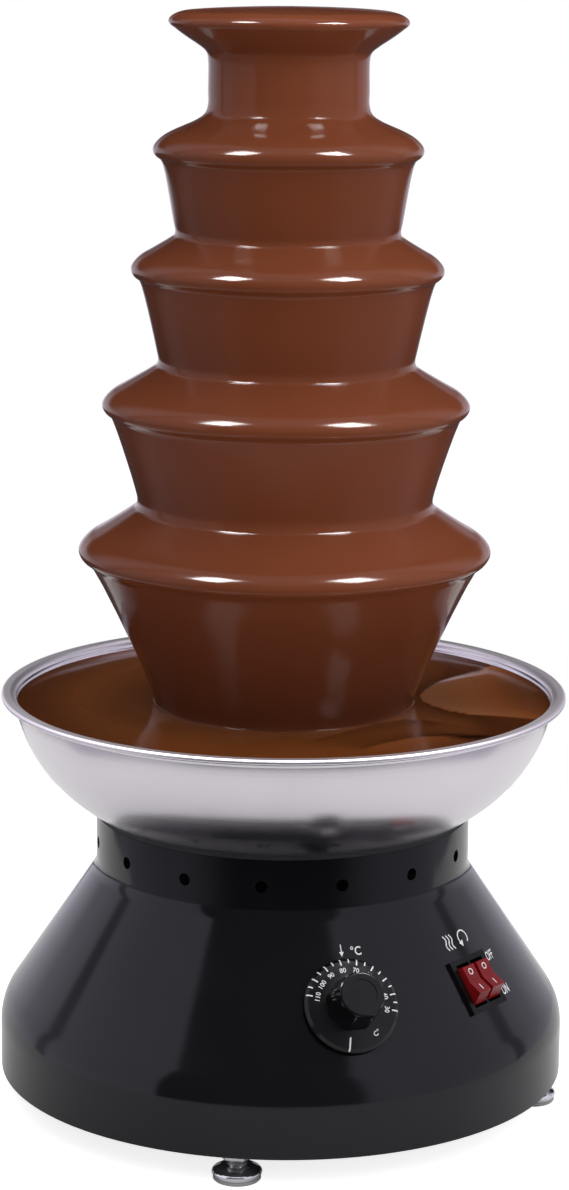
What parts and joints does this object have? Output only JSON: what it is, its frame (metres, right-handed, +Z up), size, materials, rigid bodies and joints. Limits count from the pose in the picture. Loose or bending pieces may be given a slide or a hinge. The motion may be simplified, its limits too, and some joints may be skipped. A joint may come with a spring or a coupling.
{
  "type": "chocolate fountain",
  "caption": "Heated chocolate fountain with a conical base, steel bowl, screw-fed tower and running chocolate that falls from tier to tier.",
  "frame": {"origin": "on the table, under the middle of the base", "axes": "+Z up along the tower, -Y towards the dial side, +X to the right seen from the front"},
  "size_m": [0.236, 0.236, 0.4512],
  "materials": {
    "black_paint": "high gloss",
    "dark_steel": "semi-matt",
    "zinc_steel": "zinc plated",
    "chrome": "polished",
    "grey_plastic": "matt",
    "black_plastic": "satin",
    "cream_plastic": "satin",
    "cast_aluminium": "as cast",
    "stainless_steel": "satin",
    "silicone": "matt",
    "brass": "bright",
    "red_plastic": "gloss, translucent",
    "chocolate": "wet gloss"
  },
  "bodies": {
    "base": {"base_housing": "black_paint", "base_plate": "dark_steel", "foot_brackets": "zinc_steel", "foot_nuts": "zinc_steel", "foot_lock_nuts": "zinc_steel", "cord_gland": "black_plastic", "gland_nut": "black_plastic", "terminal_block": "cream_plastic", "neck_brackets": "zinc_steel", "motor_plate": "zinc_steel", "gearbox_case": "cast_aluminium", "motor_can": "zinc_steel", "gearbox_screws": "zinc_steel", "bowl": "stainless_steel", "bowl_seat_ring": "silicone", "bowl_studs": "zinc_steel", "bowl_nuts": "zinc_steel", "heating_ring": "cast_aluminium", "heater_clamp": "zinc_steel", "seal_housing": "stainless_steel", "seal_nut": "zinc_steel", "shaft_bush": "brass", "shaft_seal": "silicone", "tower_tube": "stainless_steel", "tower_foot": "stainless_steel", "tower_pins": "stainless_steel", "tier_pins": "stainless_steel", "top_dish": "stainless_steel", "tier_2": "stainless_steel", "tier_3": "stainless_steel", "tier_4": "stainless_steel", "tier_5": "stainless_steel", "thermostat_body": "zinc_steel", "thermostat_screws": "zinc_steel", "switch_body": "black_plastic", "switch_terminals": "brass", "chocolate_crown": "chocolate", "chocolate_curtain_2": "chocolate", "chocolate_curtain_3": "chocolate", "chocolate_curtain_4": "chocolate", "chocolate_curtain_5": "chocolate", "chocolate_pool": "chocolate"},
    "auger": {"auger_core": "cream_plastic", "auger_flight": "cream_plastic", "drive_shaft": "stainless_steel"},
    "dial": {"thermostat_knob": "black_plastic", "thermostat_spindle": "stainless_steel"},
    "heat_rocker": {"rocker_heat": "red_plastic"},
    "motor_rocker": {"rocker_motor": "red_plastic"},
    "leg_front": {"foot_front": "chrome", "glide_front": "grey_plastic"},
    "leg_right": {"foot_right": "chrome", "glide_right": "grey_plastic"},
    "leg_back": {"foot_back": "chrome", "glide_back": "grey_plastic"},
    "leg_left": {"foot_left": "chrome", "glide_left": "grey_plastic"}
  },
  "joints": [
    {"name": "auger_spin", "type": "hinge", "parent": "base", "child": "auger", "pos_m": [0, 0, 0.2], "axis": [0, 0, 1], "continuous": true},
    {"name": "thermostat_turn", "type": "hinge", "parent": "base", "child": "dial", "pos_m": [0.02711, -0.09518, 0.06741], "axis": [0.2276, -0.799, 0.5566], "range_deg": [-68, 192]},
    {"name": "heat_rocker_tilt", "type": "hinge", "parent": "base", "child": "heat_rocker", "pos_m": [0.07469, -0.06366, 0.06522], "axis": [0.6115, 0.7912, 0], "range_deg": [0, 24]},
    {"name": "motor_rocker_tilt", "type": "hinge", "parent": "base", "child": "motor_rocker", "pos_m": [0.08043, -0.05623, 0.06522], "axis": [0.6115, 0.7912, 0], "range_deg": [0, 24]},
    {"name": "leg_front_screw", "type": "slide", "parent": "base", "child": "leg_front", "axis": [0, 0, -1], "range_m": [0, 0.008]},
    {"name": "leg_right_screw", "type": "slide", "parent": "base", "child": "leg_right", "axis": [0, 0, -1], "range_m": [0, 0.008]},
    {"name": "leg_back_screw", "type": "slide", "parent": "base", "child": "leg_back", "axis": [0, 0, -1], "range_m": [0, 0.008]},
    {"name": "leg_left_screw", "type": "slide", "parent": "base", "child": "leg_left", "axis": [0, 0, -1], "range_m": [0, 0.008]}
  ]
}
